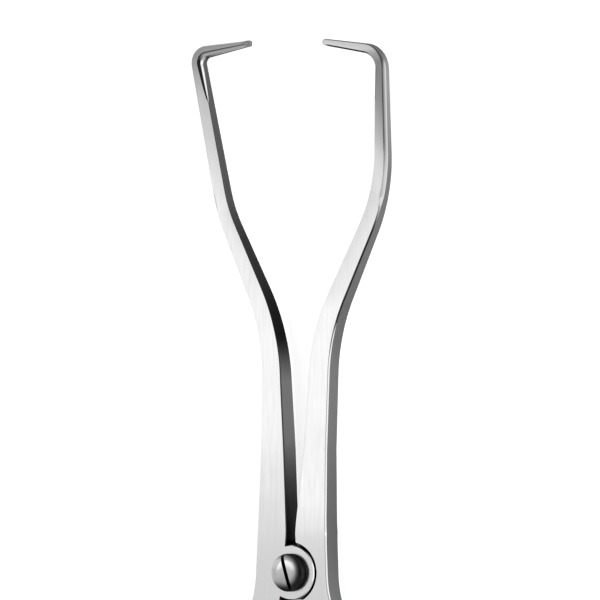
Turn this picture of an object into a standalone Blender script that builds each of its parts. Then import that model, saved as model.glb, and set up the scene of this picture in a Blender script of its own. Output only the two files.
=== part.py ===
# A surgical bone caliper: two forged steel arms that meet in a half-lapped
# disc joint on one slotted screw. The jaws end in short inward tips, and the
# shanks below the joint carry a graduated arc with a thumb screw that locks it.
# The arms don't cross, so squeezing the shanks together opens the jaws.
#
# Frame: the pivot is the Z axis, the caliper's back lies on Z = 0, the tips
# point along +Y, and all sizes are in metres.

import math

import bmesh
import bpy
from mathutils import Vector

# Joint
JOINT_THICKNESS = 0.0053
BOSS_RADIUS = 0.0062
RING_GAP = 0.0004
LAP_GAP = 0.0003
RIM_BEVEL = 0.0002

# Opening of the jaws, measured between the tips
TIP_GAP_FULLY_OPEN = 0.1000
SHANK_CLEARANCE = 0.00025

# Heights of the arms' bends above the pivot
JOINT_TOP = 0.0090
NECK_HEIGHT = 0.0280
KNEE_HEIGHT = 0.0542
LEFT_SHOULDER_HEIGHT = 0.0817
RIGHT_SHOULDER_HEIGHT = 0.0855
CORNER_HEIGHT = 0.1175
TIP_HEIGHT = 0.1197

# How far the arms' middle lines stand out from the pivot at each bend
LEFT_JOINT_OUT = 0.00505
LEFT_NECK_OUT = 0.00498
LEFT_KNEE_OUT = 0.0057
LEFT_SHOULDER_OUT = 0.0191
LEFT_CORNER_OUT = 0.0268
LEFT_TIP_OUT = 0.01205
RIGHT_JOINT_OUT = 0.00515
RIGHT_NECK_OUT = 0.0063
RIGHT_KNEE_OUT = 0.00775
RIGHT_SHOULDER_OUT = 0.0230
RIGHT_CORNER_OUT = 0.0225
RIGHT_TIP_OUT = 0.0068

# Bend radii on the middle line
HIP_RADIUS = 0.030
JOINT_BEND_RADIUS = 0.060
KNEE_RADIUS = 0.046
SHOULDER_RADIUS = 0.038
LEFT_CORNER_RADIUS = 0.0027
RIGHT_CORNER_RADIUS = 0.0048

# Widths of the arms, square to the middle line
HEEL_WIDTH = 0.0062
HIP_WIDTH = 0.0075
LEFT_JOINT_WIDTH = 0.0080
RIGHT_JOINT_WIDTH = 0.0082
LEFT_NECK_WIDTH = 0.00634
RIGHT_NECK_WIDTH = 0.0059
LEFT_KNEE_WIDTH = 0.0046
RIGHT_KNEE_WIDTH = 0.0048
SHOULDER_WIDTH = 0.0035
LEFT_CORNER_WIDTH = 0.0030
RIGHT_CORNER_WIDTH = 0.0024
LEFT_TIP_WIDTH = 0.0013
RIGHT_TIP_WIDTH = 0.0015

# Thickness of the arms above the joint, equal on both sides of their middle plane
RIGHT_NECK_THICKNESS = 0.0047
LEFT_KNEE_THICKNESS = 0.0047
RIGHT_KNEE_THICKNESS = 0.0044
LEFT_SHOULDER_THICKNESS = 0.0032
RIGHT_SHOULDER_THICKNESS = 0.0028
LEFT_CORNER_THICKNESS = 0.0025
RIGHT_CORNER_THICKNESS = 0.0022
TIP_THICKNESS = 0.0012

# Bevels along the arms' edges
EDGE_BEVEL = 0.00033
OUTER_FACET = 0.0006
OUTER_FACET_FOOT = 0.0830
FACET_RUNOUT = 0.0022
TIP_BEVEL = 0.00022
LEFT_INNER_FACET = 0.00115
INNER_FACET_FOOT = 0.1065
FACET_CROWN = 0.38
LARGEST_BEVEL_SHARE = 0.45

# Bluntness of the rounded ends, as shares of the width and thickness there
BLUNT_WIDTH = 0.16
BLUNT_THICKNESS = 0.40

# Lower shanks
SHANK_REACH = 0.0800

# Pivot screw
HEAD_RADIUS = 0.0043
HEAD_SIDE = 0.0008
HEAD_DOME = 0.0011
SCREW_RADIUS = 0.0022
SCREW_CLEARANCE = 0.0003
DRIVER_SLOT_WIDTH = 0.0008
DRIVER_SLOT_DEPTH = 0.0010
DRIVER_SLOT_ANGLE = math.radians(17.0)

# Graduated arc, its seat in the left shank and its guide in the right one
ARC_RADIUS = 0.0620
ARC_WIDTH = 0.0070
ARC_THICKNESS = 0.0015
ARC_GAP = 0.0003
ARC_SEAT_PAST_CENTRE = 0.0020
ARC_END_MARGIN = 0.0032
GUIDE_REACH = 3.0
ARC_END_BULGE = 0.0021
ARC_BEVEL = 0.00015

# Rivets that hold the arc, and the stop pin at its free end
RIVET_RADIUS = 0.0010
RIVET_SPACING = 0.0038
RIVET_HEAD_RADIUS = 0.0016
RIVET_HEAD_HEIGHT = 0.0005
PIN_RADIUS = 0.0008
PIN_LENGTH = 0.0036
PIN_CLEARANCE = 0.0005

# Thumb screw that locks the arc
LOCK_SHANK_RADIUS = 0.0015
LOCK_NECK_RADIUS = 0.0022
LOCK_NECK_HEIGHT = 0.0010
LOCK_HEAD_RADIUS = 0.0037
LOCK_HEAD_HEIGHT = 0.0042
LOCK_DISH_RADIUS = 0.0020
LOCK_GROOVE_DEPTH = 0.00025
LOCK_GROOVES = 20

# Gap that separates neighbouring pieces
FIT_GAP = 0.0003

# Fineness of curved surfaces
ROUND_SEGMENTS = 72
SMALL_SEGMENTS = 32
PATH_STEP = 0.0030
BEND_STEP = math.radians(4.0)
ARC_STEP = math.radians(2.0)
END_STEPS = 6
ARC_END_STEPS = 12
HEAD_DOME_STEPS = 6
RIVET_DOME_STEPS = 4
POINTS_PER_GROOVE = 4
CROWN_FLAT = 0.3

# Worked out from the sizes above
MID_PLANE = JOINT_THICKNESS / 2
RECESS_RADIUS = BOSS_RADIUS + RING_GAP
LEFT_TIP_ANGLE = math.atan2(LEFT_TIP_OUT, TIP_HEIGHT)
RIGHT_TIP_ANGLE = math.atan2(RIGHT_TIP_OUT, TIP_HEIGHT)
CLOSING_TRAVEL = LEFT_TIP_ANGLE + RIGHT_TIP_ANGLE
TIP_REACH = (math.hypot(LEFT_TIP_OUT, TIP_HEIGHT) + math.hypot(RIGHT_TIP_OUT, TIP_HEIGHT)) / 2
FULL_TRAVEL = 2 * math.asin(TIP_GAP_FULLY_OPEN / (2 * TIP_REACH))
OPENING_TRAVEL = FULL_TRAVEL - CLOSING_TRAVEL
SHANK_ANGLE = OPENING_TRAVEL / 2
OVERSHOOT = 0.010


def clear_scene():
    for old_object in list(bpy.data.objects):
        bpy.data.objects.remove(old_object, do_unlink=True)


def steel(name, colour, roughness):
    material = bpy.data.materials.new(name)
    material.use_nodes = True
    shader = material.node_tree.nodes["Principled BSDF"]
    shader.inputs["Base Color"].default_value = (*colour, 1.0)
    shader.inputs["Roughness"].default_value = roughness
    shader.inputs["Metallic"].default_value = 1.0
    return material


def add_object(name, mesh_builder, material=None):
    mesh = bpy.data.meshes.new(name)
    bmesh.ops.recalc_face_normals(mesh_builder, faces=mesh_builder.faces)
    mesh_builder.to_mesh(mesh)
    mesh_builder.free()
    mesh.shade_smooth()
    mesh.set_sharp_from_angle(angle=math.radians(25))
    new_object = bpy.data.objects.new(name, mesh)
    bpy.context.scene.collection.objects.link(new_object)
    if material is None:
        new_object.hide_render = True
        new_object.display_type = 'WIRE'
    else:
        mesh.materials.append(material)
    return new_object


def combine(target, tool, operation):
    modifier = target.modifiers.new(tool.name, 'BOOLEAN')
    modifier.operation = operation
    modifier.solver = 'EXACT'
    modifier.object = tool


def loft(rings):
    builder = bmesh.new()
    loops = [[builder.verts.new(point) for point in ring] for ring in rings]
    for lower, upper in zip(loops, loops[1:]):
        count = len(lower)
        for index in range(count):
            following = (index + 1) % count
            builder.faces.new((lower[index], lower[following], upper[following], upper[index]))
    builder.faces.new(loops[0])
    builder.faces.new(loops[-1])
    return builder


def turned(profile, segments):
    # A profile of (radius, height) pairs from the lower to the upper face.
    rings = []
    for radius, height in profile:
        ring = []
        for index in range(segments):
            angle = 2 * math.pi * index / segments
            ring.append((radius * math.cos(angle), radius * math.sin(angle), height))
        rings.append(ring)
    return loft(rings)


def dome_profile(radius, base, height, steps):
    # A shallow spherical cap from its rim almost to its crown.
    sphere = (radius ** 2 + height ** 2) / (2 * height)
    reach = math.asin(radius / sphere)
    profile = []
    for step in range(steps):
        angle = reach * (1 - step / steps)
        rise = sphere * (math.cos(angle) - math.cos(reach))
        profile.append((sphere * math.sin(angle), base + rise))
    profile.append((CROWN_FLAT * profile[-1][0], base + height))
    return profile


def on_circle(radius, angle, side):
    # A point below the pivot, at an angle from straight down towards one side.
    return Vector((side * radius * math.sin(angle), -radius * math.cos(angle)))


class Path:
    """A line of straight runs and round bends, sampled with its directions."""

    def __init__(self, corners, radii):
        self.points = []
        self.directions = []
        self.lengths = []
        self.corner_lengths = []
        runs = [(after - before).normalized() for before, after in zip(corners, corners[1:])]
        self.add(corners[0], runs[0])
        self.corner_lengths.append(0.0)
        for index, radius in enumerate(radii, start=1):
            before, after = runs[index - 1], runs[index]
            turn = before.angle_signed(after)
            setback = radius * math.tan(abs(turn) / 2)
            self.straight_to(corners[index] - before * setback, before)
            self.bend(before, -turn, radius)
            self.corner_lengths.append(self.lengths[-1] - radius * abs(turn) / 2)
        self.straight_to(corners[-1], runs[-1])
        self.corner_lengths.append(self.lengths[-1])

    def add(self, point, direction):
        if self.points:
            self.lengths.append(self.lengths[-1] + (point - self.points[-1]).length)
        else:
            self.lengths.append(0.0)
        self.points.append(point.copy())
        self.directions.append(direction.normalized())

    def straight_to(self, end, direction):
        start = self.points[-1]
        steps = max(1, round((end - start).length / PATH_STEP))
        for step in range(1, steps + 1):
            self.add(start.lerp(end, step / steps), direction)

    def bend(self, before, turn, radius):
        if abs(turn) < 1e-6:
            return
        start = self.points[-1]
        sign = math.copysign(1.0, turn)
        centre = start + Vector((-before.y, before.x)) * radius * sign
        steps = max(2, math.ceil(abs(turn) / BEND_STEP), math.ceil(abs(turn) * radius / PATH_STEP))
        for step in range(1, steps + 1):
            angle = turn * step / steps
            spoke = turned_by(start - centre, angle)
            self.add(centre + spoke, turned_by(before, angle))

    def at(self, length):
        for index in range(1, len(self.lengths)):
            if self.lengths[index] >= length or index == len(self.lengths) - 1:
                span = self.lengths[index] - self.lengths[index - 1]
                share = (length - self.lengths[index - 1]) / span
                point = self.points[index - 1].lerp(self.points[index], share)
                direction = self.directions[index - 1].lerp(self.directions[index], share)
                return point, direction.normalized()

    def length_at_height(self, height):
        for index in range(1, len(self.points)):
            low, high = self.points[index - 1].y, self.points[index].y
            if low <= height <= high:
                share = (height - low) / (high - low)
                return self.lengths[index - 1] + share * (self.lengths[index] - self.lengths[index - 1])
        return self.lengths[-1]


def turned_by(vector, angle):
    cosine, sine = math.cos(angle), math.sin(angle)
    return Vector((vector.x * cosine - vector.y * sine, vector.x * sine + vector.y * cosine))


def between(value, stations):
    # Straight interpolation in a list of (place, value) pairs.
    for (low, first), (high, second) in zip(stations, stations[1:]):
        if value <= high:
            share = max(0.0, (value - low) / (high - low))
            return first + (second - first) * share
    return stations[-1][1]


def clamped(share):
    return min(1.0, max(0.0, share))


def ease(value, start, end):
    share = clamped((value - start) / (end - start))
    return share * share * (3 - 2 * share)


def arm_section(width, thickness, inner_bevel, outer_bevel, back_bevel):
    # The outline across an arm as (outwards, upwards) pairs, from its inner front edge round.
    half = width / 2
    up = thickness / 2
    crown = FACET_CROWN * inner_bevel
    return [
        (-half + inner_bevel, up),
        (-half + crown, up - crown),
        (-half, up - inner_bevel),
        (-half, -up + back_bevel),
        (-half + back_bevel, -up),
        (half - back_bevel, -up),
        (half, -up + back_bevel),
        (half, up - outer_bevel),
        (half - outer_bevel, up),
    ]


def arm_blank(side, corners, radii, widths, thicknesses, inner_facet):
    """The forging without its joint: sections swept from the heel to the tip."""
    path = Path(corners, radii)
    total = path.lengths[-1]
    width_stations = list(zip(path.corner_lengths, widths))
    thickness_stations = list(zip(path.corner_lengths, thicknesses))
    corner_length = path.corner_lengths[-2]
    tip_length = total - corner_length
    heel_round = HEEL_WIDTH / 2
    tip_round = widths[-1] / 2
    outer_foot = path.length_at_height(OUTER_FACET_FOOT)
    inner_foot = path.length_at_height(INNER_FACET_FOOT)

    places = set(length for length in path.lengths if heel_round < length < total - tip_round)
    places.update((outer_foot, outer_foot + FACET_RUNOUT, inner_foot))
    for step in range(END_STEPS + 1):
        swing = math.pi / 2 * step / END_STEPS
        places.add(heel_round * (1 - math.cos(swing)))
        places.add(total - tip_round * (1 - math.cos(swing)))

    rings = []
    for length in sorted(places):
        point, direction = path.at(length)
        width = between(length, width_stations)
        thickness = between(length, thickness_stations)
        past_corner = clamped((length - corner_length) / tip_length)

        outer_rise = clamped((length - outer_foot) / FACET_RUNOUT)
        outer_bevel = EDGE_BEVEL + (OUTER_FACET - EDGE_BEVEL) * outer_rise
        leaving = ease(length, corner_length - radii[-1], corner_length + radii[-1])
        outer_bevel += (TIP_BEVEL - outer_bevel) * leaving
        inner_rise = clamped((length - inner_foot) / (corner_length - inner_foot))
        inner_bevel = EDGE_BEVEL + (inner_facet - EDGE_BEVEL) * inner_rise
        back_bevel = EDGE_BEVEL + (TIP_BEVEL - EDGE_BEVEL) * past_corner

        for end_distance, end_round in ((length, heel_round), (total - length, tip_round)):
            if end_distance < end_round:
                inside = 1 - end_distance / end_round
                width *= max(BLUNT_WIDTH, math.sqrt(1 - inside ** 2))
        tip_distance = total - length
        if tip_distance < tip_round:
            thickness *= max(BLUNT_THICKNESS, math.sqrt(1 - (1 - tip_distance / tip_round) ** 2))
        bevel_limit = LARGEST_BEVEL_SHARE * min(width, thickness)
        inner_bevel = min(inner_bevel, bevel_limit)
        outer_bevel = min(outer_bevel, bevel_limit)
        back_bevel = min(back_bevel, bevel_limit)

        # Outwards is to the left of the path on the left arm and to its right on the right arm.
        outwards = Vector((direction.y, -direction.x)) * side
        ring = []
        for out, up in arm_section(width, thickness, inner_bevel, outer_bevel, back_bevel):
            spot = point + outwards * out
            ring.append((spot.x, spot.y, MID_PLANE + up))
        rings.append(ring)
    return loft(rings)


def shank_points(side):
    # The heel, and the hip where the shank's middle line meets the joint's.
    down = on_circle(1.0, SHANK_ANGLE, side)
    out = Vector((side * math.cos(SHANK_ANGLE), math.sin(SHANK_ANGLE)))
    heel = down * SHANK_REACH + out * (HEEL_WIDTH / 2 + SHANK_CLEARANCE)
    hip = down * RECESS_RADIUS + out * (HIP_WIDTH / 2 + SHANK_CLEARANCE)
    return heel, hip


def arm_corners(side, outs, shoulder_height):
    heel, hip = shank_points(side)
    heights = (JOINT_TOP, NECK_HEIGHT, KNEE_HEIGHT, shoulder_height, CORNER_HEIGHT, TIP_HEIGHT)
    upper = [Vector((side * out, height)) for out, height in zip(outs, heights)]
    return [heel, hip, *upper]


def boss_cylinder(name, radius, low, high, flare_at_top, flare_at_bottom):
    # A disc whose rim widens or narrows by the bevel at either face.
    profile = []
    if flare_at_bottom:
        profile.append((radius + flare_at_bottom, low))
        profile.append((radius, low + abs(flare_at_bottom)))
    else:
        profile.append((radius, low))
    if flare_at_top:
        profile.append((radius, high - abs(flare_at_top)))
        profile.append((radius + flare_at_top, high))
    else:
        profile.append((radius, high))
    return add_object(name, turned(profile, ROUND_SEGMENTS))


def arc_band(name, start, end, width, thickness, material=None, round_end=False):
    # A flat band round the pivot, between two angles counted from straight down to the right.
    steps = round((end - start) / ARC_STEP)
    inner, outer = [], []
    for step in range(steps + 1):
        angle = start + (end - start) * step / steps
        inner.append(on_circle(ARC_RADIUS - width / 2, angle, 1))
        outer.append(on_circle(ARC_RADIUS + width / 2, angle, 1))
    outline = list(outer)
    if round_end:
        radial = on_circle(1.0, end, 1)
        along = Vector((math.cos(end), math.sin(end)))
        for step in range(1, ARC_END_STEPS):
            swing = math.pi * step / ARC_END_STEPS
            across = ARC_RADIUS + width / 2 * math.cos(swing)
            outline.append(radial * across + along * ARC_END_BULGE * math.sin(swing))
    outline.extend(reversed(inner))
    low = MID_PLANE - thickness / 2
    high = MID_PLANE + thickness / 2
    rings = [[(point.x, point.y, height) for point in outline] for height in (low, high)]
    return add_object(name, loft(rings), material)


def bevelled(piece, width):
    modifier = piece.modifiers.new("edge", 'BEVEL')
    modifier.width = width
    modifier.segments = 1
    modifier.limit_method = 'ANGLE'
    modifier.angle_limit = math.radians(60)


def hole(name, radius, low, high, spot):
    tool = add_object(name, turned([(radius, low), (radius, high)], SMALL_SEGMENTS))
    tool.location = (spot.x, spot.y, 0.0)
    return tool


def make_arms(finish):
    left_corners = arm_corners(
        -1,
        (LEFT_JOINT_OUT, LEFT_NECK_OUT, LEFT_KNEE_OUT, LEFT_SHOULDER_OUT, LEFT_CORNER_OUT,
         LEFT_TIP_OUT),
        LEFT_SHOULDER_HEIGHT,
    )
    right_corners = arm_corners(
        1,
        (RIGHT_JOINT_OUT, RIGHT_NECK_OUT, RIGHT_KNEE_OUT, RIGHT_SHOULDER_OUT, RIGHT_CORNER_OUT,
         RIGHT_TIP_OUT),
        RIGHT_SHOULDER_HEIGHT,
    )
    radii = (HIP_RADIUS, JOINT_BEND_RADIUS, JOINT_BEND_RADIUS, KNEE_RADIUS, SHOULDER_RADIUS)
    left_radii = (*radii, LEFT_CORNER_RADIUS)
    right_radii = (*radii, RIGHT_CORNER_RADIUS)
    left_widths = (HEEL_WIDTH, HIP_WIDTH, LEFT_JOINT_WIDTH, LEFT_NECK_WIDTH, LEFT_KNEE_WIDTH,
                   SHOULDER_WIDTH, LEFT_CORNER_WIDTH, LEFT_TIP_WIDTH)
    right_widths = (HEEL_WIDTH, HIP_WIDTH, RIGHT_JOINT_WIDTH, RIGHT_NECK_WIDTH, RIGHT_KNEE_WIDTH,
                    SHOULDER_WIDTH, RIGHT_CORNER_WIDTH, RIGHT_TIP_WIDTH)
    below_neck = (JOINT_THICKNESS, JOINT_THICKNESS, JOINT_THICKNESS)
    left_thicknesses = (*below_neck, JOINT_THICKNESS, LEFT_KNEE_THICKNESS, LEFT_SHOULDER_THICKNESS,
                        LEFT_CORNER_THICKNESS, TIP_THICKNESS)
    right_thicknesses = (*below_neck, RIGHT_NECK_THICKNESS, RIGHT_KNEE_THICKNESS,
                         RIGHT_SHOULDER_THICKNESS, RIGHT_CORNER_THICKNESS, TIP_THICKNESS)
    left_blank = arm_blank(-1, left_corners, left_radii, left_widths, left_thicknesses,
                           LEFT_INNER_FACET)
    right_blank = arm_blank(1, right_corners, right_radii, right_widths, right_thicknesses,
                            EDGE_BEVEL)
    left_arm = add_object("left_arm", left_blank, finish)
    right_arm = add_object("right_arm", right_blank, finish)

    # The left arm's disc is the front half of the lap, and the right arm's the back half.
    lap_front = MID_PLANE + LAP_GAP / 2
    lap_back = MID_PLANE - LAP_GAP / 2
    front_disc = boss_cylinder("front_disc", BOSS_RADIUS, lap_front, JOINT_THICKNESS, -RIM_BEVEL, 0.0)
    back_disc = boss_cylinder("back_disc", BOSS_RADIUS, 0.0, lap_back, 0.0, -RIM_BEVEL)
    front_room = recess_tool("front_recess", lap_back, 1)
    back_room = recess_tool("back_recess", lap_front, -1)
    combine(left_arm, back_room, 'DIFFERENCE')
    combine(left_arm, front_disc, 'UNION')
    combine(right_arm, front_room, 'DIFFERENCE')
    combine(right_arm, back_disc, 'UNION')

    bore = hole("pivot_bore", SCREW_RADIUS + SCREW_CLEARANCE, -OVERSHOOT, OVERSHOOT, Vector((0.0, 0.0)))
    combine(left_arm, bore, 'DIFFERENCE')
    combine(right_arm, bore, 'DIFFERENCE')
    return left_arm, right_arm


def recess_tool(name, floor, direction):
    # The round room for the other arm's disc, with a bevel where it opens on a face.
    face = JOINT_THICKNESS if direction > 0 else 0.0
    bevel_start = face - direction * RIM_BEVEL
    outside = face + direction * RIM_BEVEL
    profile = [
        (RECESS_RADIUS, floor),
        (RECESS_RADIUS, bevel_start),
        (RECESS_RADIUS + 2 * RIM_BEVEL, outside),
        (RECESS_RADIUS + 2 * RIM_BEVEL, outside + direction * OVERSHOOT),
    ]
    if direction < 0:
        profile.reverse()
    return add_object(name, turned(profile, ROUND_SEGMENTS))


def make_pivot_screw(finish):
    under_head = JOINT_THICKNESS + FIT_GAP
    profile = [
        (SCREW_RADIUS, 0.0),
        (SCREW_RADIUS, under_head),
        (HEAD_RADIUS - RIM_BEVEL, under_head),
        (HEAD_RADIUS, under_head + RIM_BEVEL),
    ]
    profile.extend(dome_profile(HEAD_RADIUS, under_head + HEAD_SIDE, HEAD_DOME, HEAD_DOME_STEPS))
    screw = add_object("pivot_screw", turned(profile, ROUND_SEGMENTS), finish)
    crown = under_head + HEAD_SIDE + HEAD_DOME
    groove = box_tool("driver_slot", DRIVER_SLOT_WIDTH, crown - DRIVER_SLOT_DEPTH, crown + OVERSHOOT)
    groove.rotation_euler = (0.0, 0.0, DRIVER_SLOT_ANGLE)
    combine(screw, groove, 'DIFFERENCE')
    return screw


def box_tool(name, width, low, high):
    half = width / 2
    corners = ((-half, -OVERSHOOT), (half, -OVERSHOOT), (half, OVERSHOOT), (-half, OVERSHOOT))
    rings = [[(x, y, height) for x, y in corners] for height in (low, high)]
    return add_object(name, loft(rings))


def shank_centre_angle():
    # The angle from straight down at which a shank's middle line crosses the arc.
    return SHANK_ANGLE + math.asin((shank_width_at_arc() / 2 + SHANK_CLEARANCE) / ARC_RADIUS)


def shank_width_at_arc():
    share = (ARC_RADIUS - RECESS_RADIUS) / (SHANK_REACH - RECESS_RADIUS)
    return HIP_WIDTH + (HEEL_WIDTH - HIP_WIDTH) * share


def make_scale(left_arm, right_arm, finish, bright):
    centre = shank_centre_angle()
    half_shank = shank_width_at_arc() / 2 / ARC_RADIUS
    seat_end = -centre - ARC_SEAT_PAST_CENTRE / ARC_RADIUS
    pin_angle = centre + half_shank + CLOSING_TRAVEL + (PIN_RADIUS + PIN_CLEARANCE) / ARC_RADIUS
    free_end = pin_angle + (ARC_END_MARGIN - PIN_RADIUS) / ARC_RADIUS
    scale_arc = arc_band("scale_arc", seat_end, free_end, ARC_WIDTH, ARC_THICKNESS, finish, round_end=True)
    bevelled(scale_arc, ARC_BEVEL)

    # The seat is closed at the left shank's outer side, and the guide runs through the right shank.
    room = 2 * ARC_GAP
    room_width = ARC_WIDTH + room
    room_thickness = ARC_THICKNESS + room
    past_shank = centre + GUIDE_REACH * half_shank
    seat = arc_band("arc_seat", seat_end - ARC_GAP / ARC_RADIUS, 0.0, room_width, room_thickness)
    guide = arc_band("arc_guide", 0.0, past_shank, room_width, room_thickness)
    combine(left_arm, seat, 'DIFFERENCE')
    combine(right_arm, guide, 'DIFFERENCE')

    fastened = []
    for index, offset in enumerate((-RIVET_SPACING / 2, RIVET_SPACING / 2), start=1):
        spot = on_circle(ARC_RADIUS + offset, centre, -1)
        rivet_hole = hole(f"rivet_hole_{index}", RIVET_RADIUS + FIT_GAP, -OVERSHOOT, OVERSHOOT, spot)
        combine(left_arm, rivet_hole, 'DIFFERENCE')
        combine(scale_arc, rivet_hole, 'DIFFERENCE')
        fastened.append(make_rivet(f"scale_rivet_{index}", spot, bright))

    pin_spot = on_circle(ARC_RADIUS, pin_angle, 1)
    pin_hole = hole("pin_hole", PIN_RADIUS + FIT_GAP, -OVERSHOOT, OVERSHOOT, pin_spot)
    combine(scale_arc, pin_hole, 'DIFFERENCE')
    fastened.append(make_stop_pin(pin_spot, bright))
    return [scale_arc, *fastened]


def make_rivet(name, spot, finish):
    seat = JOINT_THICKNESS + FIT_GAP
    profile = [(RIVET_RADIUS, 0.0), (RIVET_RADIUS, seat)]
    profile.extend(dome_profile(RIVET_HEAD_RADIUS, seat, RIVET_HEAD_HEIGHT, RIVET_DOME_STEPS))
    rivet = add_object(name, turned(profile, SMALL_SEGMENTS), finish)
    rivet.location = (spot.x, spot.y, 0.0)
    return rivet


def make_stop_pin(spot, finish):
    low = MID_PLANE - PIN_LENGTH / 2
    high = MID_PLANE + PIN_LENGTH / 2
    profile = [
        (PIN_RADIUS - RIM_BEVEL, low),
        (PIN_RADIUS, low + RIM_BEVEL),
        (PIN_RADIUS, high - RIM_BEVEL),
        (PIN_RADIUS - RIM_BEVEL, high),
    ]
    pin = add_object("scale_stop_pin", turned(profile, SMALL_SEGMENTS), finish)
    pin.location = (spot.x, spot.y, 0.0)
    return pin


def make_lock_screw(right_arm, finish):
    spot = on_circle(ARC_RADIUS, shank_centre_angle(), 1)
    arc_top = MID_PLANE + ARC_THICKNESS / 2
    tip = arc_top + ARC_GAP
    seat = JOINT_THICKNESS + FIT_GAP
    tapped = hole("lock_hole", LOCK_SHANK_RADIUS + FIT_GAP, MID_PLANE, OVERSHOOT, spot)
    combine(right_arm, tapped, 'DIFFERENCE')

    # Turned body, with grip grooves only on the head.
    head_base = seat + LOCK_NECK_HEIGHT
    head_top = head_base + LOCK_HEAD_HEIGHT
    steps = LOCK_GROOVES * POINTS_PER_GROOVE
    sections = [
        (LOCK_SHANK_RADIUS - RIM_BEVEL, tip, False),
        (LOCK_SHANK_RADIUS, tip + RIM_BEVEL, False),
        (LOCK_SHANK_RADIUS, seat, False),
        (LOCK_NECK_RADIUS, seat, False),
        (LOCK_NECK_RADIUS, head_base, False),
        (LOCK_HEAD_RADIUS - 2 * RIM_BEVEL, head_base, True),
        (LOCK_HEAD_RADIUS, head_base + 2 * RIM_BEVEL, True),
        (LOCK_HEAD_RADIUS, head_top - 2 * RIM_BEVEL, True),
        (LOCK_HEAD_RADIUS - 2 * RIM_BEVEL, head_top, True),
        (LOCK_DISH_RADIUS, head_top, False),
        (LOCK_DISH_RADIUS - RIM_BEVEL, head_top - RIM_BEVEL, False),
    ]
    rings = []
    for radius, height, grooved in sections:
        ring = []
        for step in range(steps):
            angle = 2 * math.pi * step / steps
            wave = 0.5 - 0.5 * math.cos(angle * LOCK_GROOVES)
            depth = LOCK_GROOVE_DEPTH * wave if grooved else 0.0
            ring.append(((radius - depth) * math.cos(angle), (radius - depth) * math.sin(angle), height))
        rings.append(ring)
    screw = add_object("lock_screw", loft(rings), finish)
    screw.location = (spot.x, spot.y, 0.0)
    return screw


def main():
    clear_scene()
    satin = steel("satin_steel", (0.74, 0.74, 0.75), 0.24)
    polished = steel("polished_steel", (0.70, 0.70, 0.71), 0.16)
    scale_finish = steel("scale_steel", (0.76, 0.76, 0.76), 0.32)

    left_arm, right_arm = make_arms(satin)
    make_pivot_screw(polished)
    moving = make_scale(left_arm, right_arm, scale_finish, polished)
    make_lock_screw(right_arm, polished)

    # Everything on the left arm turns with it about the pivot.
    pivot = bpy.data.objects.new("jaw_pivot", None)
    bpy.context.scene.collection.objects.link(pivot)
    for piece in (left_arm, *moving):
        piece.parent = pivot


main()
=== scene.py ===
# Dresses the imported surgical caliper: a satin steel instrument with polished
# edges that lies on its back on a pale floor and is seen from its right side.
# The pivot is the Z axis, the tips point along +Y, and all sizes are in metres.

import math

import bmesh
import bpy
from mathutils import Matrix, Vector

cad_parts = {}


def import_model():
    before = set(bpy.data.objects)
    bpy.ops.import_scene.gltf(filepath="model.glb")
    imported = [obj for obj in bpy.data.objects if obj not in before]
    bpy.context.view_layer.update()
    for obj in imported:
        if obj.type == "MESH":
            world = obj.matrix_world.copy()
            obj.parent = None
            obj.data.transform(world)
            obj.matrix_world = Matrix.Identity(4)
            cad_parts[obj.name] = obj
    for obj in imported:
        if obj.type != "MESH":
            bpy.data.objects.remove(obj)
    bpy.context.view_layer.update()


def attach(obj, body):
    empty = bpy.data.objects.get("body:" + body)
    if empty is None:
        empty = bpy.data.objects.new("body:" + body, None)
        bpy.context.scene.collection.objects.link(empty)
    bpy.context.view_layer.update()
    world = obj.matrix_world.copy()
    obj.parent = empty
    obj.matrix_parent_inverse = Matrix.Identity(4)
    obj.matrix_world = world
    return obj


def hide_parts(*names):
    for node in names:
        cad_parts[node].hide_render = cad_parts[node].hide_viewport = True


# Joint
JOINT_THICKNESS = 0.0053
BOSS_RADIUS = 0.0062
RING_GAP = 0.0004
BACK_RING_GAP = 0.0001
LAP_GAP = 0.0003
RIM_BEVEL = 0.0002
RECESS_BEVEL = 0.0003

# The arms' middle lines above the hips, as (distance out, height) pairs up to the tips. The radii
# are of the bends from the hip up. The widths and thicknesses are at the heel, the hip and each pair.
SHANK_REACH = 0.0800
SHANK_CLEARANCE = 0.00025
HEEL_WIDTH = 0.0062
HIP_WIDTH = 0.0075
LEFT_BENDS = ((0.00505, 0.0090), (0.00498, 0.0280), (0.0057, 0.0542), (0.0191, 0.0817),
              (0.0268, 0.1175), (0.01205, 0.1197))
RIGHT_BENDS = ((0.00515, 0.0090), (0.0063, 0.0280), (0.00775, 0.0542), (0.0230, 0.0855),
               (0.0225, 0.1175), (0.0068, 0.1197))
LEFT_RADII = (0.030, 0.060, 0.060, 0.046, 0.038, 0.0027)
RIGHT_RADII = (0.030, 0.060, 0.060, 0.046, 0.038, 0.0048)
LEFT_WIDTHS = (HEEL_WIDTH, HIP_WIDTH, 0.0080, 0.00634, 0.0046, 0.0035, 0.0030, 0.0013)
RIGHT_WIDTHS = (HEEL_WIDTH, HIP_WIDTH, 0.0082, 0.0059, 0.0048, 0.0035, 0.0024, 0.0015)
BELOW_NECK = (JOINT_THICKNESS, JOINT_THICKNESS, JOINT_THICKNESS)
LEFT_THICKNESSES = (*BELOW_NECK, JOINT_THICKNESS, 0.0047, 0.0032, 0.0025, 0.0012)
RIGHT_THICKNESSES = (*BELOW_NECK, 0.0047, 0.0044, 0.0028, 0.0022, 0.0012)

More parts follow.
